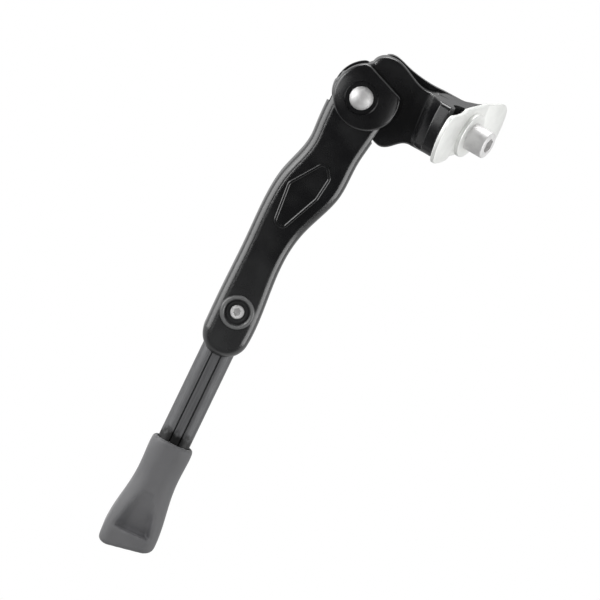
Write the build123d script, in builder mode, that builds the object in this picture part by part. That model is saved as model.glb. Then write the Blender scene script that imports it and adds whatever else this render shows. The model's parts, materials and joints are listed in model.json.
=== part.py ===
from build123d import *
import math
import os

# Adjustable side kickstand that clamps across a bicycle's chainstays, with its leg folded back.
# Millimetres, +X forward, +Y to the bicycle's left, +Z up along the clamp bolt.
# The origin is on the bolt's axis, at the seat face of the mount head.

# Clearances
run_gap = 0.05
slide_gap = 0.3
socket_gap = 0.1
fork_gap = 0.8

# Where and how far the leg turns
pivot_back = 2.0
pivot_left = 30.0
pivot_drop = 54.0
pivot_toe = 15.0
pivot_cant = 23.5
fold_angle = 104.0

# Clamp: a plate over the two stays and a flange under them, which narrows away from the leg
clamp_rear = 12.5
end_sagitta = 2.7
flange_half = 37.0
flange_front = 20.0
flange_far_front = 10.0
flange_t = 7.0
flange_corner = 3.0
flange_rear_corner = 8.0
flange_edge = 0.8
stay_spacing = 42.0
channel_r = 9.0
channel_depth = 3.7
plate_half = 41.5
plate_front = 17.0
plate_t = 2.5
plate_corner = 4.0
plate_far_corner = 17.0
plate_far_rear_corner = 10.0
plate_edge = 0.5
arch_rise = 2.0
tip_rise = 1.7
arch_blend = 3.0
emboss_r = 13.5
emboss_h = 2.4
emboss_edge = 0.8

# Clamp bolt and the boss that it screws into
bolt_d = 10.0
bolt_length = 40.0
bolt_head_d = 16.0
bolt_head_h = 11.6
bolt_head_edge = 1.0
bolt_hex = 8.0
bolt_hex_depth = 5.0
bolt_point = 1.2
plate_hole_gap = 0.5
boss_r = 11.0
boss_depth = 31.0

# Head below the flange: gussets, far block and tongue
gusset_inset = 3.0
gusset_knee_out = 6.5
gusset_knee_drop = 7.5
gusset_foot_out = 8.0
gusset_depth = 18.0
gusset_far_foot = 2.0
gusset_far_knee = 6.0
gusset_far_knee_drop = 2.0
tongue_t = 18.2
tongue_edge = 1.8
block_far = 20.0
block_edge = 1.8
head_top = 51.0
cam_r = 15.0
cam_lift = 2.0
cam_notch = 0.8
cam_notch_half = 10.0
rear_lobe = 19.2

# Outlines of the head in the leg's plane, from the pivot: along the leg, then across it
fold_flat = [(cam_r, 10.0), (cam_r, -2.0)]
lobe_curve = [(-20.4, -3.0), (-23.8, -1.6), (-27.2, 3.2), (-27.8, 8.6), (-25.4, 16.5), (-22.6, 37.0)]
neck_curve = [(10.6, 37.2), (12.4, 31.7), (16.4, 27.6), (rear_lobe, 22.6), (18.2, 17.6), fold_flat[0]]
block_curve = [(-26.8, 2.6), (-28.4, 6.0), (-28.2, 10.0), (-26.4, 16.5), (-24.9, 24.0), (-24.3, 40.0)]
block_low = [(8.0, 36.0), (0.0, 20.0)]

# Pivot
rivet_d = 8.0
rivet_head_d = 13.4
rivet_head_h = 2.8
rivet_tail_d = 12.0
rivet_tail_h = 2.2
tail_washer_d = 17.0
tail_washer_t = 1.2
bush_d = 11.0
thrust_washer_d = 20.0
thrust_washer_t = 0.8

# Fork ears at the top of the leg
ear_t = 5.2
ear_r = 18.9
ear_shift = (-1.8, 2.6)
ear_flat_angle = 161.0
ear_flat = 16.2
ear_corner = 4.5
ear_edge = 1.6
ear_crown = 1.2
ear_crown_r = 9.6
ear_crown_fall = 0.06

# Inner leg, which sets the section of the outer leg
inner_w = 18.9
inner_t = 16.0
inner_round = 6.8
inner_bore_d = 8.0
inner_top_depth = 60.0
slit_spacing = 5.6
slit_w = 0.9
slit_depth = 1.6

# Outer leg
side_wall = 3.75
face_wall = 3.7
leg_end = 166.5
leg_lean = 3.0
leg_axis_offset = 10.4
bore_depth = 96.0
leg_face_round = 5.4
leg_back_round = 6.0
fork_end = -4.0
fork_corner = 6.0
fork_root = 11.0
panel_corner = 3.0
bead_w = 2.0
bead_h = 0.8

# Outlines of the outer leg in its plane, from the pivot: along the leg, then across it
leg_left_high = [(fork_end, -15.2), (16.0, -15.4), (25.0, -14.6), (33.0, -13.9), (45.0, -15.8)]
leg_left_low = [(57.0, -18.9), (72.0, -20.1), (102.0, -18.4), (126.0, -17.4)]
leg_right_low = [(124.0, 8.7), (97.0, 6.6), (84.0, 8.3), (66.0, 14.0)]
leg_right_high = [(56.0, 16.5), (34.0, 16.5), (23.0, 17.5), (14.0, 18.4), (fork_end, 18.6)]
panel_corners = [(41.0, 0.2), (48.6, 6.4), (62.0, 5.4), (85.4, -3.4), (84.2, -9.2), (61.0, -12.4)]

# Lock screw, through the near face onto the inner leg
lock_at = 27.5
lock_d = 8.0
lock_top = 0.5
lock_hex = 4.0
lock_hex_depth = 2.4
lock_edge = 0.5
lock_cup_depth = 0.8
lock_cup_r = 5.2
lock_rim_r = 5.9
lock_ditch_r = 7.1
lock_ring_r = 10.0
lock_ring_h = 1.3
lock_ditch_depth = 0.7

# Detent plunger and its spring
plunger_d = 8.8
plunger_body = 10.0
plunger_dome = 1.5
stem_d = 4.0
stem_length = 8.0
spring_length = 28.0
spring_wire = 1.2
spring_coil_d = 6.4
spring_turns = 7.0

# Rubber foot
foot_top = 56.0
foot_length = 67.0
foot_grip = 45.0
foot_collar_w = 24.2
foot_collar_t = 22.0
foot_waist = 21.0
foot_flare = 57.0
foot_toe_w = 31.8
foot_toe_t = 26.5
foot_round = 10.0
foot_toe_round = 6.5
foot_edge = 2.0
foot_spare = 8.0
scoop_top = 30.0
scoop_end = 55.5
scoop_top_w = 7.0
scoop_end_w = 17.0
scoop_depth = 4.2
scoop_reach = 5.0
scoop_lean = 0.8
scoop_round = 2.0

# Planes and axes worked out from the sizes above
toe = math.radians(pivot_toe)
cant = math.radians(pivot_cant)
along = Vector(-math.cos(toe), math.sin(toe), 0)
pivot_dir = Vector(math.cos(cant) * math.sin(toe), math.cos(cant) * math.cos(toe), math.sin(cant))
pivot_point = Vector(-pivot_back, pivot_left, -pivot_drop)
leg_plane = Plane(origin=pivot_point, x_dir=along, z_dir=pivot_dir)
pivot_axis = Axis(pivot_point, pivot_dir)
across = leg_plane.y_dir
pivot_section = Plane(origin=pivot_point, x_dir=along, z_dir=-across)

lean = math.radians(leg_lean)
slide_dir = along * math.cos(lean) + across * math.sin(lean)
slide_start = pivot_point + across * -leg_axis_offset
bore_mouth = slide_start + slide_dir * (leg_end / math.cos(lean))
slide_plane = Plane(origin=bore_mouth, x_dir=pivot_dir, z_dir=slide_dir)
slide_axis = Axis(bore_mouth, slide_dir)

bolt_seat = plate_t + emboss_h
gusset_reach = flange_half - gusset_inset
channel_half = math.sqrt(channel_r**2 - (channel_r - channel_depth) ** 2)
tongue_half = tongue_t / 2
washer_inner = tongue_half + run_gap
ear_inner = washer_inner + thrust_washer_t + run_gap
ear_outer = ear_inner + ear_t
leg_half = inner_t / 2 + slide_gap + face_wall
leg_half_w = inner_w / 2 + slide_gap + side_wall
cam_end = fold_angle - cam_notch_half
cam_top = cam_r + cam_lift
slot_r = cam_top + fork_gap
ear_sweep = ear_r + math.hypot(*ear_shift) + fork_gap
lock_point = inner_t / 2 + run_gap

lock_point_at = bore_mouth - slide_dir * lock_at
lock_plane = Plane(origin=lock_point_at, x_dir=slide_dir, z_dir=pivot_dir)
lock_section = Plane(origin=lock_point_at, x_dir=slide_dir, z_dir=slide_dir.cross(pivot_dir))
lock_axis = Axis(lock_point_at, pivot_dir)

detent_plane = Plane(origin=pivot_point, x_dir=pivot_dir, z_dir=along)
detent_section = Plane(origin=pivot_point, x_dir=pivot_dir, z_dir=pivot_dir.cross(along))
detent_axis = Axis(pivot_point, along)
plunger_tip = cam_r + run_gap
spring_start = plunger_tip + plunger_dome + plunger_body
spring_end = spring_start + spring_length

sole_normal = Vector(0, 0, -1).rotate(Axis((0, 0, 0), pivot_dir), fold_angle)
sole_point = bore_mouth + slide_dir * (foot_top + foot_length) + pivot_dir * (foot_toe_t / 2)
sole_plane = Plane(origin=sole_point, z_dir=sole_normal)
sole_axis = Axis(sole_point, sole_normal)
flare_stations = [foot_waist + (foot_flare - foot_waist) * share for share in (0, 1 / 3, 2 / 3, 1)]
foot_stations = [0, *flare_stations, foot_length + foot_spare]


def polar(radius, degrees):
    return (radius * math.cos(math.radians(degrees)), radius * math.sin(math.radians(degrees)))


def axis_at(distance):
    """Offset of the inner leg's axis from the pivot line, at a distance along the leg."""
    return math.tan(lean) * distance - leg_axis_offset


def clamp_plan(half_length, front, far_front, near_corners, far_corners):
    """Plan of the clamp plate or the flange: arched ends, and a radius for each rear and front corner."""
    side = half_length - end_sagitta
    mid = (front - clamp_rear) / 2
    far_mid = (far_front - clamp_rear) / 2
    with BuildSketch(mode=Mode.PRIVATE) as plan:
        with BuildLine():
            Line((-clamp_rear, -side), (-clamp_rear, side))
            ThreePointArc((-clamp_rear, side), (mid, half_length), (front, side))
            Line((front, side), (far_front, -side))
            ThreePointArc((far_front, -side), (far_mid, -half_length), (-clamp_rear, -side))
        make_face()
        corners = ((-clamp_rear, side), (front, side), (-clamp_rear, -side), (far_front, -side))
        for corner, radius in zip(corners, (*near_corners, *far_corners)):
            fillet(plan.vertices().sort_by_distance(corner)[0], radius)
    return plan.sketch


def flange_plan():
    """Plan of the flange, with its large radius at the near rear corner."""
    near_corners = (flange_rear_corner, flange_corner)
    far_corners = (flange_corner, flange_corner)
    return clamp_plan(flange_half, flange_front, flange_far_front, near_corners, far_corners)


def tongue_outline():
    """Side of the head in the leg's plane: folded flat, cam, notch, front lobe, neck and rear lobe."""
    spiral = [polar(cam_r + cam_lift * share, -cam_end * share) for share in (0.35, 0.55, 0.75, 1)]
    notch_low = polar(cam_top - cam_notch, -cam_end - cam_notch_half)
    notch_out = polar(cam_top, -cam_end - 2 * cam_notch_half)
    lobe_top = (lobe_curve[-1][0], head_top)
    neck_top = (neck_curve[0][0], head_top)
    with BuildSketch(mode=Mode.PRIVATE) as outline:
        with BuildLine():
            Line(*fold_flat)
            Spline(fold_flat[-1], *spiral)
            ThreePointArc(spiral[-1], notch_low, notch_out)
            Line(notch_out, lobe_curve[0])
            Spline(*lobe_curve)
            Polyline(lobe_curve[-1], lobe_top, neck_top, neck_curve[0])
            Spline(*neck_curve)
        make_face()
    return outline.sketch


def block_outline():
    """Side of the far block, which carries the tongue's load to the flange and clears the far ear."""
    curve_top = (block_curve[-1][0], head_top)
    low_top = (block_low[0][0], head_top)
    with BuildSketch(mode=Mode.PRIVATE) as outline:
        with BuildLine():
            Spline(*block_curve)
            Polyline(block_curve[-1], curve_top, low_top, *block_low, block_curve[0])
        make_face()
        Circle(ear_sweep, mode=Mode.SUBTRACT)
    return outline.sketch


def ear_outline():
    """Disc around the pivot with one flat towards the head."""
    with BuildSketch(mode=Mode.PRIVATE) as outline:
        with Locations(ear_shift):
            Circle(ear_r)
        with Locations(Location(polar(ear_flat, ear_flat_angle), ear_flat_angle)):
            Rectangle(2 * ear_r, 4 * ear_r, align=(Align.MIN, Align.CENTER), mode=Mode.SUBTRACT)
        fillet(outline.vertices(), ear_corner)
    return outline.sketch


def leg_outline():
    """Side of the outer leg: straight lower part around the bore, bent neck, rounded end in the fork."""
    low = leg_end - leg_half_w
    low_left = (low, axis_at(low) - leg_half_w)
    low_right = (low, axis_at(low) + leg_half_w)
    with BuildSketch(mode=Mode.PRIVATE) as outline:
        with BuildLine():
            Spline(*leg_left_high, *leg_left_low, low_left)
            ThreePointArc(low_left, (leg_end, axis_at(leg_end)), low_right)
            Spline(low_right, *leg_right_low, *leg_right_high)
            Line(leg_right_high[-1], leg_left_high[0])
        make_face()
        fillet(outline.vertices().group_by(Axis.X)[0], fork_corner)
    return outline.sketch


def panel_outline():
    """Long six-sided panel on the leg's near face."""
    with BuildSketch(mode=Mode.PRIVATE) as outline:
        with BuildLine():
            Polyline(*panel_corners, close=True)
        make_face()
        fillet(outline.vertices(), panel_corner)
    return outline.sketch


def dome_arc(radius, base, rise):
    """Arc from the rim of a dome at its base up to its tip on the axis, for a revolved section."""
    ball = (radius**2 + rise**2) / (2 * abs(rise))
    half_turn = math.asin(radius / ball) / 2
    sign = math.copysign(1, rise)
    middle = (ball * math.sin(half_turn), base + rise - sign * ball * (1 - math.cos(half_turn)))
    return ThreePointArc((radius, base), middle, (0, base + rise))


def foot_section(station):
    """Thickness, width and corner radius of the foot, easing from the collar to the toe."""
    share = min(max((station - foot_waist) / (foot_flare - foot_waist), 0), 1)
    ease = share * share * (3 - 2 * share)
    thickness = foot_collar_t + (foot_toe_t - foot_collar_t) * ease
    width = foot_collar_w + (foot_toe_w - foot_collar_w) * ease
    return thickness, width, foot_round + (foot_toe_round - foot_round) * ease


def scoop_section(floor, width):
    """Section of the hollow on the foot's toe: a flat floor and sides that lean outwards."""
    rim = width / 2 + scoop_lean * scoop_reach
    with BuildSketch(mode=Mode.PRIVATE) as section:
        with BuildLine():
            Polyline(
                (floor, -width / 2),
                (floor, width / 2),
                (floor + scoop_reach, rim),
                (floor + scoop_reach, -rim),
                close=True,
            )
        make_face()
    return section.sketch


def at_arch_foot(edge):
    """Whether an edge along the plate lies where an arch leaves the flat middle."""
    return abs(abs(edge.center().Y) - stay_spacing / 2 + channel_half) < run_gap


def on_near_gusset(edge):
    """Whether an edge runs down the front or rear of the bent gusset, below the flange."""
    spot = edge @ 0.5
    near = spot.Y > gusset_reach - gusset_foot_out - run_gap and spot.Z < -flange_t / 2 - run_gap
    return near and abs((edge % 0.5).X) < math.cos(math.radians(45))


def on_ear_rim(edge):
    """Whether an edge lies on the outer rim of the near ear."""
    spot = leg_plane.to_local_coords(edge @ 0.5)
    return spot.Z > ear_outer - ear_crown and math.hypot(spot.X, spot.Y) > ear_crown_r + ear_crown


# Flange of the head, under the stays
with BuildPart() as flange:
    with BuildSketch(Plane.XY):
        add(flange_plan())
    extrude(amount=-flange_t)
    fillet(flange.edges().group_by(Axis.Z)[-1], flange_edge)
    fillet(flange.edges().group_by(Axis.Z)[0], flange_edge)

# Gussets under the flange: a bent one beside the tongue, a low one on the far side
with BuildPart() as gussets:
    with BuildSketch(Plane.YZ.offset(-clamp_rear)):
        with BuildLine():
            Polyline(
                (gusset_reach, -flange_t / 2),
                (gusset_reach, -flange_t),
                (gusset_reach - gusset_knee_out, -flange_t - gusset_knee_drop),
                (gusset_reach - gusset_foot_out, -gusset_depth),
                (gusset_far_foot, -gusset_depth),
                (-gusset_far_knee, -flange_t - gusset_far_knee_drop),
                (-gusset_reach, -flange_t / 2),
                close=True,
            )
        make_face()
    extrude(amount=clamp_rear + flange_front)
    with BuildSketch(Plane.XY.offset(-gusset_depth)):
        add(flange_plan())
    extrude(amount=gusset_depth, mode=Mode.INTERSECT)
    fillet(gussets.edges().filter_by(on_near_gusset), flange_edge)

# Mount head: flange, gussets, threaded boss and tongue, cast in one
with BuildPart() as mount_head:
    with BuildSketch(leg_plane.offset(-tongue_half)):
        add(tongue_outline())
    extrude(amount=tongue_t)
    fillet(mount_head.edges().group_by(pivot_axis)[-1], tongue_edge)
    with BuildSketch(leg_plane.offset(-tongue_half + tongue_edge)):
        add(block_outline())
    extrude(amount=-(block_far - tongue_half + tongue_edge))
    fillet(mount_head.edges().group_by(pivot_axis)[0], block_edge)
    with BuildSketch(Plane.XY.offset(-boss_depth)):
        Circle(boss_r)
    extrude(amount=boss_depth - flange_t / 2)
    add(flange.part)
    add(gussets.part)
    with BuildSketch(Plane.YZ.offset(-2 * clamp_rear)):
        with GridLocations(stay_spacing, 0, 2, 1):
            with Locations((0, channel_r - channel_depth)):
                Circle(channel_r)
    extrude(amount=2 * (clamp_rear + flange_front), mode=Mode.SUBTRACT)
    with BuildSketch(Plane.XY):
        Circle(bolt_d / 2 + run_gap)
    extrude(amount=-2 * boss_depth, mode=Mode.SUBTRACT)
    with BuildSketch(leg_plane.offset(-leg_half)):
        Circle(bush_d / 2 + run_gap)
    extrude(amount=2 * leg_half, mode=Mode.SUBTRACT)
mount_head.part.label = "mount_head"

# Clamp plate: one pressed sheet, arched over each stay and embossed under the bolt head
with BuildPart() as clamp_plate:
    stay = stay_spacing / 2
    arch_in = stay - channel_half
    with BuildSketch(Plane.YZ.offset(-2 * clamp_rear)):
        with BuildLine():
            for level in (0, plate_t):
                for side in (-1, 1):
                    tip = (side * plate_half, level + tip_rise)
                    ThreePointArc((side * arch_in, level), (side * stay, level + arch_rise), tip)
                Line((-arch_in, level), (arch_in, level))
            for side in (-1, 1):
                Line((side * plate_half, tip_rise), (side * plate_half, tip_rise + plate_t))
        make_face()
    extrude(amount=2 * (clamp_rear + plate_front))
    fillet(clamp_plate.edges().filter_by(Axis.X).filter_by(at_arch_foot), arch_blend)
    with BuildSketch(Plane.XY):
        near_corners = (plate_corner, plate_corner)
        far_corners = (plate_far_rear_corner, plate_far_corner)
        add(clamp_plan(plate_half, plate_front, plate_front, near_corners, far_corners))
    extrude(amount=plate_t + 2 * arch_rise, mode=Mode.INTERSECT)
    arch_lines = clamp_plate.edges().filter_by(Axis.X)
    corner_lines = clamp_plate.edges().filter_by(Axis.Z)
    fillet(clamp_plate.edges() - arch_lines - corner_lines, plate_edge)
    with BuildSketch(Plane.XY):
        Circle(emboss_r)
    extrude(amount=bolt_seat)
    fillet(clamp_plate.faces().filter_by(Plane.XY).sort_by(Axis.Z)[-1].edges(), emboss_edge)
    with BuildSketch(Plane.XY):
        Circle(emboss_r - plate_t)
    extrude(amount=emboss_h, mode=Mode.SUBTRACT)
    with BuildSketch(Plane.XY):
        Circle(bolt_d / 2 + plate_hole_gap)
    extrude(amount=2 * bolt_seat, mode=Mode.SUBTRACT)
clamp_plate.part.label = "clamp_plate"

# Clamp bolt: socket cap screw, its head on the plate and its shank through the boss
with BuildPart() as clamp_bolt:
    with BuildSketch(Plane.XY.offset(bolt_seat)):
        Circle(bolt_head_d / 2)
    extrude(amount=bolt_head_h)
    fillet(clamp_bolt.edges().group_by(Axis.Z)[-1], bolt_head_edge)
    with BuildSketch(Plane.XY.offset(bolt_seat)):
        Circle(bolt_d / 2)
    extrude(amount=-bolt_length)
    chamfer(clamp_bolt.edges().group_by(Axis.Z)[0], bolt_point)
    with BuildSketch(Plane.XY.offset(bolt_seat + bolt_head_h)):
        RegularPolygon(bolt_hex / 2, 6, major_radius=False)
    extrude(amount=-bolt_hex_depth, mode=Mode.SUBTRACT)
clamp_bolt.part.label = "clamp_bolt"

# Near ear of the fork, crowned around the rivet's seat
with BuildPart() as near_ear:
    with BuildSketch(leg_plane.offset(ear_inner)):
        add(ear_outline())
    extrude(amount=ear_t + ear_crown)
    with BuildSketch(pivot_section):
        with BuildLine():
            Polyline(
                (0, ear_inner),
                (2 * ear_r, ear_inner),
                (2 * ear_r, ear_outer + ear_crown - ear_crown_fall * (2 * ear_r - ear_crown_r)),
                (ear_crown_r, ear_outer + ear_crown),
                (ear_crown_r - ear_crown / 2, ear_outer),
                (0, ear_outer),
                close=True,
            )
        make_face()
    revolve(axis=pivot_axis, mode=Mode.INTERSECT)
    fillet(near_ear.edges().filter_by(on_ear_rim), ear_edge)

# Far ear of the fork, flat for the tail washer
with BuildPart() as far_ear:
    with BuildSketch(leg_plane.offset(-ear_inner)):
        add(ear_outline())
    extrude(amount=-ear_t)
    fillet(far_ear.edges().group_by(pivot_axis)[0], ear_edge)

# Raised bead around the panel on the leg's near face
with BuildPart() as panel_bead:
    with BuildSketch(leg_plane.offset(leg_half - bead_h)):
        offset(panel_outline(), bead_w / 2)
        offset(panel_outline(), -bead_w / 2, mode=Mode.SUBTRACT)
    extrude(amount=2 * bead_h)
    fillet(panel_bead.edges().group_by(pivot_axis)[-1], bead_h)

# Outer leg: fork, curved body, bores for the plunger and the inner leg, ring around the lock screw
with BuildPart() as outer_leg:
    with BuildSketch(leg_plane.offset(-leg_half)):
        add(leg_outline())
    extrude(amount=2 * leg_half)
    fillet(outer_leg.edges().group_by(pivot_axis)[-1], leg_face_round)
    fillet(outer_leg.edges().group_by(pivot_axis)[0], leg_back_round)
    add(panel_bead.part)
    add(near_ear.part)
    add(far_ear.part)
    with BuildSketch(leg_plane.offset(-ear_inner)):
        Circle(slot_r)
        with Locations((rear_lobe + fork_gap, 0)):
            Rectangle(4 * ear_r, 4 * ear_r, align=(Align.MAX, Align.MIN))
        with Locations((fork_root, 0)):
            Rectangle(4 * ear_r, 4 * ear_r, align=(Align.MAX, Align.CENTER))
    extrude(amount=2 * ear_inner, mode=Mode.SUBTRACT)
    with BuildSketch(leg_plane.offset(-2 * ear_outer)):
        Circle(rivet_d / 2 + run_gap)
    extrude(amount=4 * ear_outer, mode=Mode.SUBTRACT)
    with BuildSketch(detent_plane.offset(cam_r)):
        Circle(plunger_d / 2 + run_gap)
    extrude(amount=spring_end - cam_r, mode=Mode.SUBTRACT)
    with BuildSketch(slide_plane.offset(leg_half)):
        RectangleRounded(inner_t + 2 * slide_gap, inner_w + 2 * slide_gap, inner_round + slide_gap)
    extrude(amount=-bore_depth - leg_half, mode=Mode.SUBTRACT)
    with BuildSketch(lock_section):
        with BuildLine():
            Polyline(
                (lock_ring_r, leg_half - lock_ring_h / 2),
                (lock_ring_r, leg_half - face_wall / 2),
                (lock_ditch_r, leg_half - face_wall / 2),
                (lock_ditch_r, leg_half + lock_ring_h / 3),
            )
            ThreePointArc(
                (lock_ditch_r, leg_half + lock_ring_h / 3),
                ((lock_ditch_r + lock_ring_r) / 2, leg_half + lock_ring_h),
                (lock_ring_r, leg_half - lock_ring_h / 2),
            )
        make_face()
    revolve(axis=lock_axis)
    with BuildSketch(lock_plane.offset(leg_half)):
        Circle(lock_ditch_r)
        Circle(lock_rim_r, mode=Mode.SUBTRACT)
    extrude(amount=-lock_ditch_depth, mode=Mode.SUBTRACT)
    with BuildSketch(lock_plane.offset(leg_half - lock_cup_depth)):
        Circle(lock_cup_r)
    extrude(amount=lock_cup_depth, mode=Mode.SUBTRACT)
    with BuildSketch(lock_plane):
        Circle(lock_d / 2 + run_gap)
    extrude(amount=leg_half, mode=Mode.SUBTRACT)
outer_leg.part.label = "outer_leg"

# Pivot rivet: domed head in the near ear, peened tail on the far side
with BuildPart() as pivot_rivet:
    tail_seat = -ear_outer - tail_washer_t
    with BuildSketch(pivot_section):
        with BuildLine():
            Polyline(
                (0, tail_seat - rivet_tail_h),
                (0, ear_outer + rivet_head_h),
            )
            dome_arc(rivet_head_d / 2, ear_outer, rivet_head_h)
            Polyline(
                (rivet_head_d / 2, ear_outer),
                (rivet_d / 2, ear_outer),
                (rivet_d / 2, tail_seat),
                (rivet_tail_d / 2, tail_seat),
            )
            dome_arc(rivet_tail_d / 2, tail_seat, -rivet_tail_h)
        make_face()
    revolve(axis=pivot_axis)
pivot_rivet.part.label = "pivot_rivet"

# Washer under the rivet's peened tail
with BuildPart() as tail_washer:
    with BuildSketch(leg_plane.offset(-ear_outer)):
        Circle(tail_washer_d / 2)
        Circle(rivet_d / 2 + run_gap, mode=Mode.SUBTRACT)
    extrude(amount=-tail_washer_t)
tail_washer.part.label = "tail_washer"

# Bush pressed into the head's tongue, on which the leg's rivet turns
with BuildPart() as pivot_bush:
    with BuildSketch(leg_plane.offset(-tongue_half)):
        Circle(bush_d / 2)
        Circle(rivet_d / 2 + run_gap, mode=Mode.SUBTRACT)
    extrude(amount=tongue_t)
pivot_bush.part.label = "pivot_bush"

# Thrust washers between the tongue and the two ears
with BuildPart() as near_thrust_washer:
    with BuildSketch(leg_plane.offset(washer_inner)):
        Circle(thrust_washer_d / 2)
        Circle(rivet_d / 2 + run_gap, mode=Mode.SUBTRACT)
    extrude(amount=thrust_washer_t)
near_thrust_washer.part.label = "near_thrust_washer"

with BuildPart() as far_thrust_washer:
    with BuildSketch(leg_plane.offset(-washer_inner)):
        Circle(thrust_washer_d / 2)
        Circle(rivet_d / 2 + run_gap, mode=Mode.SUBTRACT)
    extrude(amount=-thrust_washer_t)
far_thrust_washer.part.label = "far_thrust_washer"

# Detent plunger: domed nose on the cam, stem inside the spring
with BuildPart() as detent_plunger:
    with BuildSketch(detent_section):
        with BuildLine():
            dome_arc(plunger_d / 2, plunger_tip + plunger_dome, -plunger_dome)
            Polyline(
                (plunger_d / 2, plunger_tip + plunger_dome),
                (plunger_d / 2, spring_start),
                (stem_d / 2, spring_start),
                (stem_d / 2, spring_start + stem_length),
                (0, spring_start + stem_length),
                (0, plunger_tip),
            )
        make_face()
    revolve(axis=detent_axis)
detent_plunger.part.label = "detent_plunger"

# Detent spring: coil between the plunger's shoulder and the end of its bore
with BuildPart() as detent_spring:
    coil_height = spring_length - spring_wire
    with BuildLine() as coil:
        Helix(
            pitch=coil_height / spring_turns,
            height=coil_height,
            radius=spring_coil_d / 2,
            center=pivot_point + along * (spring_start + spring_wire / 2),
            direction=along,
        )
    with BuildSketch(Plane(origin=coil.line @ 0, z_dir=coil.line % 0)):
        Circle(spring_wire / 2)
    sweep(is_frenet=True)
detent_spring.part.label = "detent_spring"

# Inner leg: drawn bar of rounded section, with two slits beside the track that the lock screw presses on
with BuildPart() as inner_leg:
    with BuildSketch(slide_plane.offset(-inner_top_depth)):
        RectangleRounded(inner_t, inner_w, inner_round)
        with Locations((inner_t / 2, slit_spacing / 2), (inner_t / 2, -slit_spacing / 2)):
            Rectangle(2 * slit_depth, slit_w, mode=Mode.SUBTRACT)
        Circle(inner_bore_d / 2, mode=Mode.SUBTRACT)
    extrude(amount=inner_top_depth + foot_top + foot_grip)
inner_leg.part.label = "inner_leg"

# Lock screw: socket set screw, its point on the inner leg
with BuildPart() as lock_screw:
    with BuildSketch(lock_plane.offset(lock_point)):
        Circle(lock_d / 2)
    extrude(amount=leg_half - lock_top - lock_point)
    chamfer(lock_screw.edges().group_by(lock_axis)[-1], lock_edge)
    chamfer(lock_screw.edges().group_by(lock_axis)[0], lock_edge)
    with BuildSketch(lock_plane.offset(leg_half - lock_top)):
        RegularPolygon(lock_hex / 2, 6, major_radius=False)
    extrude(amount=-lock_hex_depth, mode=Mode.SUBTRACT)
lock_screw.part.label = "lock_screw"

# Hollow on the near side of the foot's toe
with BuildPart() as toe_scoop:
    with BuildSketch(slide_plane.offset(foot_top + scoop_top)):
        add(scoop_section(foot_collar_t / 2, scoop_top_w))
    with BuildSketch(slide_plane.offset(foot_top + scoop_end)):
        add(scoop_section(foot_toe_t / 2 - scoop_depth, scoop_end_w))
    loft()
    fillet(toe_scoop.faces().sort_by(pivot_axis)[0].edges(), scoop_round)

# Rubber foot: collar, flared toe, sole cut level with the ground when the leg is down
with BuildPart() as rubber_foot:
    for station in foot_stations:
        with BuildSketch(slide_plane.offset(foot_top + station)):
            RectangleRounded(*foot_section(station))
    loft()
    split(bisect_by=sole_plane, keep=Keep.BOTTOM)
    fillet(rubber_foot.faces().sort_by(sole_axis)[-1].edges(), foot_edge)
    fillet(rubber_foot.faces().sort_by(slide_axis)[0].edges(), foot_edge)
    add(toe_scoop.part, mode=Mode.SUBTRACT)
    with BuildSketch(slide_plane.offset(foot_top)):
        RectangleRounded(inner_t + 2 * socket_gap, inner_w + 2 * socket_gap, inner_round + socket_gap)
    extrude(amount=foot_grip, mode=Mode.SUBTRACT)
rubber_foot.part.label = "rubber_foot"

pieces = (
    mount_head,
    clamp_plate,
    clamp_bolt,
    pivot_bush,
    near_thrust_washer,
    far_thrust_washer,
    pivot_rivet,
    tail_washer,
    outer_leg,
    detent_plunger,
    detent_spring,
    inner_leg,
    lock_screw,
    rubber_foot,
)
os.makedirs("parts", exist_ok=True)
for piece in pieces:
    export_step(piece.part, f"parts/{piece.part.label}.step")
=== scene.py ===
import json
import math

import bmesh
import bpy
from mathutils import Matrix, Vector


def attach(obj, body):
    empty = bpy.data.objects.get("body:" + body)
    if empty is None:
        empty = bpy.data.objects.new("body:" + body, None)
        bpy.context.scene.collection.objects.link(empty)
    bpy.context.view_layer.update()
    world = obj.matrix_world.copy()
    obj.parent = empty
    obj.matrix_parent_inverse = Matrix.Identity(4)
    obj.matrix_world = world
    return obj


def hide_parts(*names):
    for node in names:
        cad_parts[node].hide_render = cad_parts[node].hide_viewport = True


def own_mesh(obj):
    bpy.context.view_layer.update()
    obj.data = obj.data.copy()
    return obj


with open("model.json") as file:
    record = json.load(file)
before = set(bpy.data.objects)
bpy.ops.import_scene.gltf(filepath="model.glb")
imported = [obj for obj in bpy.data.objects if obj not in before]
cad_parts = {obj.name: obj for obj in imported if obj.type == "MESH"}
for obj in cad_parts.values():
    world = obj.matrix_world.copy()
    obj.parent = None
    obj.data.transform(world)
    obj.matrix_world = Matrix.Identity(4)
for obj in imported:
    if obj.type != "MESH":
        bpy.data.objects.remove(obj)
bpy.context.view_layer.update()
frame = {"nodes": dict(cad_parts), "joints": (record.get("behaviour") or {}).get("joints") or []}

# Bicycle kickstand, dressed for the photograph's view. Metres, in the frame of the solids.

# Photograph: its width, the pivot's place in it and the scale there, and how the camera is turned
PHOTO_SIZE = 600
PIVOT_PIXEL = (361.0, 96.1)
METRES_PER_PIXEL = 0.00056
CAMERA_DISTANCE = 2.5
CAMERA_REACH = 4 * CAMERA_DISTANCE
CAMERA_ROLL = math.radians(241.35)
CAMERA_TILT = math.radians(7.0)

# Floor: its depth below the origin, half size and tone, and its glow to camera and glossy rays
FLOOR_DROP = 1.10
FLOOR_HALF = 1.6
FLOOR_TONE = 0.85
FLOOR_GLOW = 0.72
FLOOR_SHINE = 0.20

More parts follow.
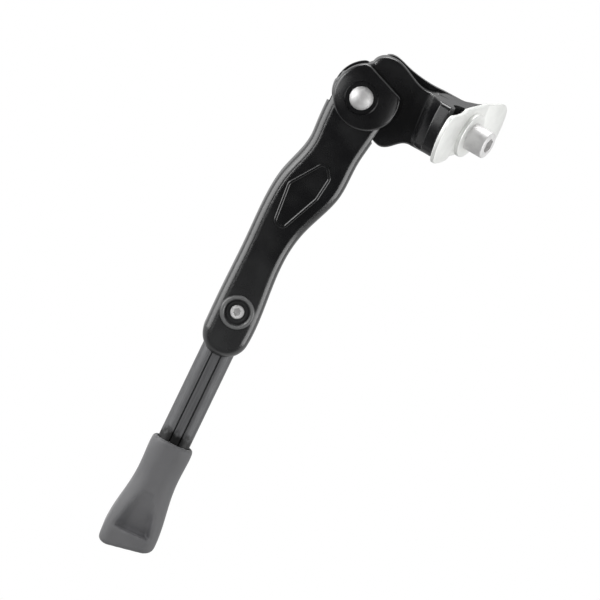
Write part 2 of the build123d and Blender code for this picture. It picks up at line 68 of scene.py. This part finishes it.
# Surround: its strength in diffuse light, and in reflections to the sides, behind the camera and
# from below, with the spans over which it fades towards the camera and at the horizon
SKY_DIFFUSE = 0.40
SKY_SIDES = 0.80
SKY_BEHIND_CAMERA = 0.05
SKY_BELOW = 0.50
SKY_FADE = (0.08, 0.50)
HORIZON_FADE = (-0.2, 0.2)

# Lamps: direction in the frame, distance, size along and across the leg, power
LAMPS = {
    "softbox_low": ((0.220, 0.669, -0.705), 0.75, (0.55, 0.78), 4.8),
    "softbox_high": ((0.070, 0.065, 0.993), 1.20, (0.75, 1.00), 8.6),
    "softbox_front": ((0.512, 0.671, -0.535), 1.30, (0.50, 0.50), 2.4),
    "softbox_fore": ((0.870, -0.370, -0.310), 1.00, (0.85, 0.45), 7.6),
    "card_front": ((0.259, 0.961, 0.059), 1.50, (0.30, 0.30), 1.50),
}

# Middle of the leg, from the pivot, at which the lamps are aimed
LEG_MIDDLE = 0.08

# Colours of the finishes: each stop is its place on the ramp and the colour there
PAINT_TONES = (
    (0.05, (0.0030, 0.0030, 0.0036)),
    (0.72, (0.0260, 0.0265, 0.0270)),
    # The lightest stop is reached only on the lock screw's ring, a painted highlight
    (1.00, (0.1100, 0.1110, 0.1110)),
)
TUBE_TONES = ((0.30, (0.076, 0.077, 0.080)), (0.70, (0.122, 0.123, 0.127)))
RUBBER_TONES = (
    # The darkest stop is the painted shade deep in the foot's hollows
    (0.0, (0.026, 0.026, 0.031)),
    (0.8, (0.106, 0.106, 0.110)),
    (1.0, (0.122, 0.122, 0.126)),
)
SHEET_TONES = ((0.30, (0.78, 0.79, 0.77)), (0.70, (0.88, 0.888, 0.868)))
STEEL_TONES = ((0.30, (0.68, 0.675, 0.675)), (0.70, (0.82, 0.815, 0.81)))
BRONZE_TONES = ((0.35, (0.30, 0.19, 0.08)), (0.65, (0.52, 0.36, 0.18)))

# Plated steels: least and most roughness, and how metallic they are
BRIGHT_FINISH = ((0.24, 0.36), 1.0)
BOLT_FINISH = ((0.50, 0.62), 0.6)
RIVET_FINISH = ((0.55, 0.66), 0.9)
SCREW_FINISH = ((0.50, 0.62), 0.6)

# Stretch of the leg, from the pivot, over which handling dulls the paint, and by how much
DULL_SPAN = (0.09, 0.15)
DULL_SHARE = 0.5

# Ring around the lock screw with a painted highlight: inner and outer radius, softness of its
# edges, added roughness
HIGHLIT_LOCK_RING = (0.0072, 0.0100)
RING_FADE = 0.0006
RING_ROUGH = 0.2

# Crowned face of the near ear: inner and outer radius, slope at the rim, depth of its rounded edge
EAR_DOME = (0.0095, 0.0200)
EAR_SLOPE = 0.26
EAR_EDGE = 0.002

# Painted shade on the inner leg where it enters the foot's collar: where it starts above the
# collar and where it is full, how ragged its edge is, and the share of the tube's colour that
# shows through it
COLLAR_SHADE_SPAN = (0.0095, 0.0048)
COLLAR_SHADE_RAGGED = (-0.004, 0.002)
COLLAR_SHADE_CLEAR = 0.04

# Shade in the foot's hollow: how far a hollow's walls reach, and the span of openness it covers
HOLLOW_REACH = 0.022
HOLLOW_SPAN = (0.72, 0.95)
HOLLOW_SAMPLES = 8

# Rubber foot: mesh width, rounds of easing and the step of each, length of the collar, whose edges
# are nearly kept, and the collar's share of easing
FOOT_GRID = 0.0007
FOOT_EASE = 14
EASE_STEP = 0.5
FOOT_COLLAR = 0.018
COLLAR_EASE = 0.15

# Clamp bolt: radius and bevelled point of its shank, and its thread, which ends below the plate
BOLT_RADIUS = 0.005
BOLT_POINT = 0.0012
THREAD_PITCH = 0.0015
THREAD_DEPTH = 0.0009
THREAD_TOP = -0.004
THREAD_STEPS = 10
SHARP_ANGLE = math.radians(35.0)
SAME_PLACE = 0.00001
WELD_DISTANCE = SAME_PLACE / 10

joints = {joint["name"]: joint for joint in frame["joints"]}
pivot = Vector(joints["leg_fold"]["pos_m"])
pivot_dir = -Vector(joints["leg_fold"]["axis"])
leg_dir = Vector(joints["plunger_slide"]["axis"])
slide_dir = Vector(joints["length_slide"]["axis"])
across = pivot_dir.cross(leg_dir)

photo_right = leg_dir * math.cos(CAMERA_ROLL) - across * math.sin(CAMERA_ROLL)
photo_flat_up = leg_dir * math.sin(CAMERA_ROLL) + across * math.cos(CAMERA_ROLL)
photo_up = photo_flat_up * math.cos(CAMERA_TILT) - pivot_dir * math.sin(CAMERA_TILT)
photo_toward = photo_flat_up * math.sin(CAMERA_TILT) + pivot_dir * math.cos(CAMERA_TILT)
photo_centre = (
    pivot
    + photo_right * (PHOTO_SIZE / 2 - PIVOT_PIXEL[0]) * METRES_PER_PIXEL
    + photo_up * (PIVOT_PIXEL[1] - PHOTO_SIZE / 2) * METRES_PER_PIXEL
)


def add_object(name, data):
    """New object in the scene."""
    made = bpy.data.objects.new(name, data)
    bpy.context.scene.collection.objects.link(made)
    return made


def placed(right, up, back, place):
    """Matrix of an object at a place, its own axes along three directions."""
    turn = Matrix((right, up, back)).transposed().to_4x4()
    return Matrix.Translation(place) @ turn


def coat(mesh, material):
    """Gives a mesh one material."""
    mesh.materials.clear()
    mesh.materials.append(material)


def add_camera():
    """Camera at the photograph's angle, distance and framing."""
    data = bpy.data.cameras.new("camera")
    half_width = METRES_PER_PIXEL * PHOTO_SIZE / 2
    data.angle = 2 * math.atan(half_width / CAMERA_DISTANCE)
    data.clip_end = CAMERA_REACH
    camera = add_object("camera", data)
    place = photo_centre + photo_toward * CAMERA_DISTANCE
    camera.matrix_world = placed(photo_right, photo_up, photo_toward, place)
    bpy.context.scene.camera = camera


def add_lamp(name, direction, distance, size, power):
    """Soft rectangular lamp aimed at the middle of the leg, its first side along the leg."""
    data = bpy.data.lights.new(name, "AREA")
    data.shape = "RECTANGLE"
    data.size, data.size_y = size
    data.energy = power
    lamp = add_object(name, data)
    lamp.visible_camera = False
    back = Vector(direction).normalized()
    side = (leg_dir - back * leg_dir.dot(back)).normalized()
    middle = pivot + leg_dir * LEG_MIDDLE
    lamp.matrix_world = placed(side, back.cross(side), back, middle + back * distance)


def add_node(tree, kind, **settings):
    """New node in a tree, with its settings."""
    made = tree.nodes.new(kind)
    for key, value in settings.items():
        setattr(made, key, value)
    return made


class Shader:
    """A material being wired: its Principled shader and short ways to add nodes."""

    def __init__(self, name):
        self.material = bpy.data.materials.new(name)
        self.material.use_nodes = True
        self.tree = self.material.node_tree
        self.principled = self.tree.nodes["Principled BSDF"]

    def node(self, kind, **settings):
        return add_node(self.tree, kind, **settings)

    def link(self, start, end):
        self.tree.links.new(start, end)

    def set(self, **sockets):
        """Constants on the Principled shader's own sockets."""
        for key, value in sockets.items():
            self.principled.inputs[key.replace("_", " ")].default_value = value

    def feed(self, **sockets):
        """Outputs of nodes into the Principled shader's sockets."""
        for key, output in sockets.items():
            self.link(output, self.principled.inputs[key.replace("_", " ")])

    def place(self, stretch=(1, 1, 1), turn=None):
        """Coordinates in the object's own space, turned and then stretched."""
        coords = self.node("ShaderNodeTexCoord")
        mapping = self.node("ShaderNodeMapping")
        if turn is not None:
            mapping.inputs["Rotation"].default_value = turn.to_euler()
        self.link(coords.outputs["Object"], mapping.inputs["Vector"])
        scaled = self.node("ShaderNodeVectorMath", operation="MULTIPLY")
        scaled.inputs[1].default_value = stretch
        self.link(mapping.outputs["Vector"], scaled.inputs[0])
        return scaled.outputs["Vector"]

    def noise(self, where, scale, detail=3.0, roughness=0.5):
        made = self.node("ShaderNodeTexNoise")
        made.inputs["Scale"].default_value = scale
        made.inputs["Detail"].default_value = detail
        made.inputs["Roughness"].default_value = roughness
        self.link(where, made.inputs["Vector"])
        return made.outputs["Fac"]

    def spread(self, fac, low, high, start=0.3, end=0.7):
        """Stretches a span, a noise's unless it is given, to the values from low to high."""
        made = self.node("ShaderNodeMapRange")
        made.inputs["From Min"].default_value = start
        made.inputs["From Max"].default_value = end
        made.inputs["To Min"].default_value = low
        made.inputs["To Max"].default_value = high
        self.link(fac, made.inputs["Value"])
        return made.outputs["Result"]

    def colours(self, fac, stops):
        """Colour ramp: each stop is a place and a colour."""
        made = self.node("ShaderNodeValToRGB")
        ramp = made.color_ramp
        while len(ramp.elements) < len(stops):
            ramp.elements.new(0.5)
        for element, (spot, colour) in zip(ramp.elements, stops):
            element.position = spot
            element.color = (*colour, 1.0)
        self.link(fac, made.inputs["Fac"])
        return made.outputs["Color"]

    def bump(self, height, distance, strength=1.0, after=None):
        """Normal of a relief, laid over another normal where one is given."""
        made = self.node("ShaderNodeBump")
        made.inputs["Distance"].default_value = distance
        made.inputs["Strength"].default_value = strength
        self.link(height, made.inputs["Height"])
        if after is not None:
            self.link(after, made.inputs["Normal"])
        return made.outputs["Normal"]

    def hollows(self, reach):
        """Zero deep in a hollow, one out in the open."""
        made = self.node("ShaderNodeAmbientOcclusion", samples=HOLLOW_SAMPLES)
        made.inputs["Distance"].default_value = reach
        return made.outputs["AO"]

    def math(self, operation, first, second):
        """Arithmetic on two outputs or numbers."""
        made = self.node("ShaderNodeMath", operation=operation)
        for socket, value in zip(made.inputs, (first, second)):
            if isinstance(value, bpy.types.NodeSocket):
                self.link(value, socket)
            else:
                socket.default_value = value
        return made.outputs["Value"]

    def along(self, direction):
        """Distance along a direction, in the object's own space."""
        coords = self.node("ShaderNodeTexCoord")
        made = self.node("ShaderNodeVectorMath", operation="DOT_PRODUCT")
        made.inputs[1].default_value = direction
        self.link(coords.outputs["Object"], made.inputs[0])
        return made.outputs["Value"]

    def around(self, centre, axis):
        """Distance from an axis, and height along it above a point on it."""
        coords = self.node("ShaderNodeTexCoord")
        offset = self.node("ShaderNodeVectorMath", operation="SUBTRACT")
        offset.inputs[1].default_value = centre
        self.link(coords.outputs["Object"], offset.inputs[0])
        turned = self.node("ShaderNodeVectorMath", operation="CROSS_PRODUCT")
        turned.inputs[1].default_value = axis
        self.link(offset.outputs["Vector"], turned.inputs[0])
        radius = self.node("ShaderNodeVectorMath", operation="LENGTH")
        self.link(turned.outputs["Vector"], radius.inputs[0])
        height = self.math("SUBTRACT", self.along(axis), axis.dot(centre))
        return radius.outputs["Value"], height

    def ring_mask(self, centre, axis, inner, outer):
        """One on a raised ring around an axis, zero elsewhere and behind its face."""
        radius, height = self.around(centre, axis)
        edges = self.math(
            "MULTIPLY",
            self.spread(radius, 0.0, 1.0, inner, inner + RING_FADE),
            self.spread(radius, 1.0, 0.0, outer - RING_FADE, outer),
        )
        return self.math("MULTIPLY", edges, self.math("GREATER_THAN", height, -RING_FADE))

    def dome(self, centre, axis, inner, outer, slope):
        """Height of a face that falls away ever faster towards its rim, zero behind the face."""
        radius, height = self.around(centre, axis)
        share = self.spread(radius, 0.0, 1.0, inner, outer)
        depth = slope * (outer - inner) / 2
        fall = self.math("MULTIPLY", self.math("MULTIPLY", share, share), -depth)
        return self.math("MULTIPLY", fall, self.math("GREATER_THAN", height, -EAR_EDGE))


def frame_turn(x_dir, z_dir):
    """Rotation that takes the object's space into one with the given X and Z directions."""
    y_dir = z_dir.cross(x_dir).normalized()
    return Matrix((x_dir, y_dir, z_dir))


def ear_height():
    """Height of the near ear's face above the pivot, along the pivot's axis."""
    points = [vertex.co - pivot for vertex in frame["nodes"]["outer_leg"].data.vertices]
    ear = [point for point in points if point.cross(pivot_dir).length < EAR_DOME[1]]
    return max(point.dot(pivot_dir) for point in ear)


def black_paint():
    """Gloss black paint over a casting: orange peel, faint dust, a clear top coat, and a painted
    highlight on the ring around the lock screw.
    """
    shader = Shader("black_paint")
    where = shader.place()
    cloud = shader.noise(where, scale=60.0, detail=4.0)
    peel = shader.noise(where, scale=900.0, detail=2.0)
    wave = shader.noise(where, scale=160.0, detail=2.0)
    dust = shader.noise(where, scale=2600.0, detail=1.0)
    dull_start, dull_end = (leg_dir.dot(pivot) + distance for distance in DULL_SPAN)
    handled = shader.spread(shader.along(leg_dir), 0.0, DULL_SHARE, dull_start, dull_end)
    lock_place = Vector(joints["lock_screw_turn"]["pos_m"])
    ring = shader.ring_mask(lock_place, pivot_dir, *HIGHLIT_LOCK_RING)
    worn = shader.math("ADD", handled, shader.spread(cloud, low=0.0, high=0.2))
    # Painted highlight: the ring around the lock screw takes the lighter tones
    tone = shader.colours(shader.math("MAXIMUM", worn, ring), PAINT_TONES)
    ring_rough = shader.math("MULTIPLY", ring, RING_ROUGH)
    gloss = shader.math("ADD", shader.spread(cloud, low=0.22, high=0.32), ring_rough)
    ear = shader.dome(pivot + pivot_dir * ear_height(), pivot_dir, *EAR_DOME, EAR_SLOPE)
    crowned = shader.bump(ear, distance=1.0)
    waved = shader.bump(wave, distance=0.00012, strength=0.25, after=crowned)
    peeled = shader.bump(peel, distance=0.00003, strength=0.30, after=waved)
    normal = shader.bump(dust, distance=0.00001, strength=0.25, after=peeled)
    shader.set(Specular_IOR_Level=0.6, Coat_Weight=0.4, Coat_Roughness=0.14)
    shader.feed(Base_Color=tone, Roughness=gloss, Normal=normal)
    return shader.material


def dark_tube():
    """Dark satin tube with drawing marks along it, and painted shade where it enters the foot."""
    shader = Shader("dark_tube")
    lengthwise = shader.place(stretch=(1, 1, 0.02), turn=frame_turn(pivot_dir, slide_dir))
    cloud = shader.noise(shader.place(), scale=90.0, detail=4.0)
    marks = shader.noise(lengthwise, scale=1400.0, detail=3.0, roughness=0.6)
    patch = shader.noise(shader.place(), scale=260.0, detail=3.0)
    foot = frame["nodes"]["rubber_foot"].data
    collar = min(slide_dir.dot(vertex.co) for vertex in foot.vertices)
    # Painted shade: the tube's colour darkens towards the foot's collar, with a ragged edge
    ragged = shader.math("ADD", shader.along(slide_dir), shader.spread(patch, *COLLAR_SHADE_RAGGED))
    shade_start, shade_full = (collar - distance for distance in COLLAR_SHADE_SPAN)
    unshaded = shader.spread(ragged, 1.0, COLLAR_SHADE_CLEAR, shade_start, shade_full)
    shaded_tone = shader.node("ShaderNodeVectorMath", operation="SCALE")
    shader.link(shader.colours(marks, TUBE_TONES), shaded_tone.inputs[0])
    shader.link(unshaded, shaded_tone.inputs["Scale"])
    gloss = shader.spread(cloud, low=0.42, high=0.54)
    normal = shader.bump(marks, distance=0.00001, strength=0.25)
    shader.set(Metallic=0.25, Specular_IOR_Level=0.5)
    shader.feed(Base_Color=shaded_tone.outputs["Vector"], Roughness=gloss, Normal=normal)
    return shader.material


def grey_rubber():
    """Matt moulded rubber with a fine grain and painted shade in its hollows."""
    shader = Shader("grey_rubber")
    where = shader.place()
    cloud = shader.noise(where, scale=70.0, detail=4.0)
    grain = shader.noise(where, scale=2200.0, detail=3.0, roughness=0.6)
    # Painted shade: the tone darkens where ambient occlusion finds a hollow
    open_share = shader.spread(shader.hollows(HOLLOW_REACH), 0.0, 0.75, *HOLLOW_SPAN)
    depth = shader.math("ADD", open_share, shader.spread(cloud, low=0.0, high=0.25))
    tone = shader.colours(depth, RUBBER_TONES)
    gloss = shader.spread(cloud, low=0.55, high=0.68)
    normal = shader.bump(grain, distance=0.00004, strength=0.45)
    shader.set(Specular_IOR_Level=0.45, Sheen_Weight=0.25, Sheen_Roughness=0.5)
    shader.feed(Base_Color=tone, Roughness=gloss, Normal=normal)
    return shader.material


def plated_sheet():
    """Zinc plated sheet: pale, with faint streaks along the plate's X and cloudy patches."""
    shader = Shader("plated_sheet")
    lengthwise = shader.place(stretch=(0.06, 1, 1))
    streaks = shader.noise(lengthwise, scale=1300.0, detail=4.0, roughness=0.6)
    cloud = shader.noise(shader.place(), scale=120.0, detail=4.0)
    tone = shader.colours(cloud, SHEET_TONES)
    gloss = shader.spread(streaks, low=0.42, high=0.56)
    normal = shader.bump(streaks, distance=0.00002, strength=0.30)
    shader.set(Metallic=0.6)
    shader.feed(Base_Color=tone, Roughness=gloss, Normal=normal)
    return shader.material


def plated_steel(name, rough, metallic):
    """Plated steel with a cloudy shine and a fine grain."""
    shader = Shader(name)
    where = shader.place()
    cloud = shader.noise(where, scale=220.0, detail=4.0)
    grain = shader.noise(where, scale=3000.0, detail=2.0)
    tone = shader.colours(cloud, STEEL_TONES)
    gloss = shader.spread(cloud, *rough)
    normal = shader.bump(grain, distance=0.00002, strength=0.25)
    shader.set(Metallic=metallic)
    shader.feed(Base_Color=tone, Roughness=gloss, Normal=normal)
    return shader.material


def bronze():
    """Porous bearing bronze."""
    shader = Shader("bronze")
    pores = shader.noise(shader.place(), scale=2500.0, detail=2.0)
    tone = shader.colours(pores, BRONZE_TONES)
    gloss = shader.spread(pores, low=0.35, high=0.55)
    normal = shader.bump(pores, distance=0.00003, strength=0.4)
    shader.set(Metallic=1.0)
    shader.feed(Base_Color=tone, Roughness=gloss, Normal=normal)
    return shader.material


def white_floor():
    """Pale floor that reads white to the camera and still takes the object's shadow."""
    material = bpy.data.materials.new("white_floor")
    material.use_nodes = True
    tree = material.node_tree
    tree.nodes.clear()
    output = add_node(tree, "ShaderNodeOutputMaterial")
    diffuse = add_node(tree, "ShaderNodeBsdfDiffuse")
    diffuse.inputs["Color"].default_value = (FLOOR_TONE, FLOOR_TONE, FLOOR_TONE, 1)
    glow = add_node(tree, "ShaderNodeEmission")
    path = add_node(tree, "ShaderNodeLightPath")
    both = add_node(tree, "ShaderNodeAddShader")
    total = add_node(tree, "ShaderNodeMath", operation="ADD")
    levels = (("Is Camera Ray", FLOOR_GLOW), ("Is Glossy Ray", FLOOR_SHINE))
    for socket, (ray, level) in zip(total.inputs, levels):
        share = add_node(tree, "ShaderNodeMath", operation="MULTIPLY")
        share.inputs[1].default_value = level
        tree.links.new(path.outputs[ray], share.inputs[0])
        tree.links.new(share.outputs["Value"], socket)
    tree.links.new(total.outputs["Value"], glow.inputs["Strength"])
    tree.links.new(diffuse.outputs["BSDF"], both.inputs[0])
    tree.links.new(glow.outputs["Emission"], both.inputs[1])
    tree.links.new(both.outputs["Shader"], output.inputs["Surface"])
    return material


def add_floor():
    """Square floor far below the object."""
    mesh = bpy.data.meshes.new("floor")
    signs = ((-1, -1), (1, -1), (1, 1), (-1, 1))
    corners = [(x * FLOOR_HALF, y * FLOOR_HALF, -FLOOR_DROP) for x, y in signs]
    mesh.from_pydata(corners, [], [(0, 1, 2, 3)])
    coat(mesh, white_floor())
    floor = add_object("floor", mesh)


def set_sky():
    """Surround that is white to the camera, dimmer as light, and dark behind the camera."""
    world = bpy.data.worlds.new("sky")
    world.use_nodes = True
    bpy.context.scene.world = world
    tree = world.node_tree
    tree.nodes.clear()
    output = add_node(tree, "ShaderNodeOutputWorld")
    sky = add_node(tree, "ShaderNodeBackground")
    sky.inputs["Color"].default_value = (1, 1, 1, 1)
    path = add_node(tree, "ShaderNodeLightPath")
    coords = add_node(tree, "ShaderNodeTexCoord")

    def fade(direction, start, end, low, high):
        """Level that goes from low to high as the ray turns to a direction."""
        facing = add_node(tree, "ShaderNodeVectorMath", operation="DOT_PRODUCT")
        facing.inputs[1].default_value = direction
        level = add_node(tree, "ShaderNodeMapRange", interpolation_type="SMOOTHSTEP")
        level.inputs["From Min"].default_value = start
        level.inputs["From Max"].default_value = end
        level.inputs["To Min"].default_value = low
        level.inputs["To Max"].default_value = high
        tree.links.new(coords.outputs["Generated"], facing.inputs[0])
        tree.links.new(facing.outputs["Value"], level.inputs["Value"])
        return level.outputs["Result"]

    shade = add_node(tree, "ShaderNodeMath", operation="MULTIPLY")
    towards_camera = fade(photo_toward, *SKY_FADE, SKY_SIDES, SKY_BEHIND_CAMERA)
    tree.links.new(towards_camera, shade.inputs[0])
    tree.links.new(fade((0, 0, 1), *HORIZON_FADE, SKY_BELOW, 1.0), shade.inputs[1])
    glossy = add_node(tree, "ShaderNodeMix")
    glossy.inputs["A"].default_value = SKY_DIFFUSE
    tree.links.new(path.outputs["Is Glossy Ray"], glossy.inputs["Factor"])
    tree.links.new(shade.outputs["Value"], glossy.inputs["B"])
    clear = add_node(tree, "ShaderNodeMath", operation="MAXIMUM")
    tree.links.new(path.outputs["Is Camera Ray"], clear.inputs[0])
    tree.links.new(path.outputs["Is Transmission Ray"], clear.inputs[1])
    strength = add_node(tree, "ShaderNodeMix")
    strength.inputs["B"].default_value = 1.0
    tree.links.new(clear.outputs["Value"], strength.inputs["Factor"])
    tree.links.new(glossy.outputs["Result"], strength.inputs["A"])
    tree.links.new(strength.outputs["Result"], sky.inputs["Strength"])
    tree.links.new(sky.outputs["Background"], output.inputs["Surface"])


def thread_rings(shape, neck, point):
    """Rings of new vertices down a threaded shank, from the thread's top to the bevelled point."""
    rings = []
    drop = THREAD_PITCH / THREAD_STEPS
    for step in range(math.ceil((THREAD_TOP - point) / drop) + 1):
        height = max(THREAD_TOP - step * drop, point)
        started = min((THREAD_TOP - height) / THREAD_PITCH, 1.0)
        widest = BOLT_RADIUS - BOLT_POINT + height - point
        ring = []
        for spot in neck:
            angle = math.atan2(spot.co.y, spot.co.x)
            groove = (1 - math.cos(math.tau * height / THREAD_PITCH - angle)) / 2
            radius = min(BOLT_RADIUS - THREAD_DEPTH * groove * started, widest)
            x, y = radius * math.cos(angle), radius * math.sin(angle)
            ring.append(shape.verts.new((x, y, height)))
        rings.append(ring)
    return rings


def threaded_bolt(material):
    """Clamp bolt with the head of the solid on a shank whose thread is cut."""
    shape = bmesh.new()
    shape.from_mesh(frame["nodes"]["clamp_bolt"].data)
    bmesh.ops.remove_doubles(shape, verts=shape.verts, dist=WELD_DISTANCE)
    seat = joints["clamp_bolt_turn"]["pos_m"][2]
    point = min(vertex.co.z for vertex in shape.verts)
    shank = [vertex for vertex in shape.verts if vertex.co.z < seat - SAME_PLACE]
    bmesh.ops.delete(shape, geom=shank, context="VERTS")
    seated = [vertex for vertex in shape.verts if vertex.co.z < seat + SAME_PLACE]
    neck = [vertex for vertex in seated if vertex.co.xy.length < BOLT_RADIUS + SAME_PLACE]
    neck.sort(key=lambda vertex: math.atan2(vertex.co.y, vertex.co.x))
    rings = [neck, *thread_rings(shape, neck, point)]
    for upper, lower in zip(rings, rings[1:]):
        for here in range(len(neck)):
            shape.faces.new((upper[here - 1], lower[here - 1], lower[here], upper[here]))
    shape.faces.new(rings[-1])
    bmesh.ops.recalc_face_normals(shape, faces=shape.faces)
    mesh = bpy.data.meshes.new("threaded_bolt")
    shape.to_mesh(mesh)
    shape.free()
    # The solid's own normals no longer fit the new faces
    stale_normals = mesh.attributes.get("custom_normal")
    if stale_normals is not None:
        mesh.attributes.remove(stale_normals)
    mesh.shade_smooth()
    mesh.set_sharp_from_angle(angle=SHARP_ANGLE)
    coat(mesh, material)
    bolt = add_object("threaded_bolt", mesh)
    flats = bolt.modifiers.new("flats", "WEIGHTED_NORMAL")
    flats.keep_sharp = True
    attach(bolt, "clamp_bolt")
    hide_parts("clamp_bolt")


def compressing_spring(material):
    """Detent spring carried by the leg, a copy in place of the solid's own."""
    mesh = frame["nodes"]["detent_spring"].data.copy()
    coat(mesh, material)
    spring = add_object("compressing_spring", mesh)
    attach(spring, "leg")
    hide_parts("detent_spring")
    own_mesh(spring)


def remeshed_foot():
    """Copy of the rubber foot's mesh on an even grid, so that it can be eased."""
    block = add_object("foot_block", frame["nodes"]["rubber_foot"].data.copy())
    grid = block.modifiers.new("grid", "REMESH")
    grid.mode = "VOXEL"
    grid.voxel_size = FOOT_GRID
    grid.use_smooth_shade = True
    bpy.context.view_layer.update()
    graph = bpy.context.evaluated_depsgraph_get()
    mesh = bpy.data.meshes.new_from_object(block.evaluated_get(graph))
    bpy.data.objects.remove(block)
    return mesh


def moulded_foot(material):
    """Rubber foot as its mould leaves it: the solid's own shape, eased below its collar."""
    mesh = remeshed_foot()
    coat(mesh, material)
    foot = add_object("moulded_foot", mesh)
    reach = [slide_dir.dot(vertex.co) for vertex in mesh.vertices]
    collar_end = min(reach) + FOOT_COLLAR
    eased = foot.vertex_groups.new(name="eased")
    for index, spot in enumerate(reach):
        share = min(max((spot - collar_end) / FOOT_COLLAR, 0.0), 1.0)
        eased.add([index], COLLAR_EASE + (1 - COLLAR_EASE) * share, "REPLACE")
    ease = foot.modifiers.new("ease", "SMOOTH")
    ease.factor = EASE_STEP
    ease.iterations = FOOT_EASE
    ease.vertex_group = eased.name
    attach(foot, "lower_leg")
    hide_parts("rubber_foot")


def dress(material, *names):
    """Gives solids their material."""
    for name in names:
        coat(frame["nodes"][name].data, material)


bpy.context.scene.view_settings.view_transform = "Standard"
add_camera()
for lamp_name, settings in LAMPS.items():
    add_lamp(lamp_name, *settings)
add_floor()
set_sky()

bright = plated_steel("bright_steel", *BRIGHT_FINISH)
dress(black_paint(), "mount_head", "outer_leg")
dress(dark_tube(), "inner_leg")
rubber = grey_rubber()
dress(rubber, "rubber_foot")
moulded_foot(rubber)
dress(plated_sheet(), "clamp_plate")
bolt_steel = plated_steel("bolt_steel", *BOLT_FINISH)
dress(bolt_steel, "clamp_bolt")
threaded_bolt(bolt_steel)
dress(plated_steel("rivet_steel", *RIVET_FINISH), "pivot_rivet")
dress(plated_steel("screw_steel", *SCREW_FINISH), "lock_screw")
dress(bright, "tail_washer", "near_thrust_washer", "far_thrust_washer")
dress(bright, "detent_plunger", "detent_spring")
dress(bronze(), "pivot_bush")
compressing_spring(bright)
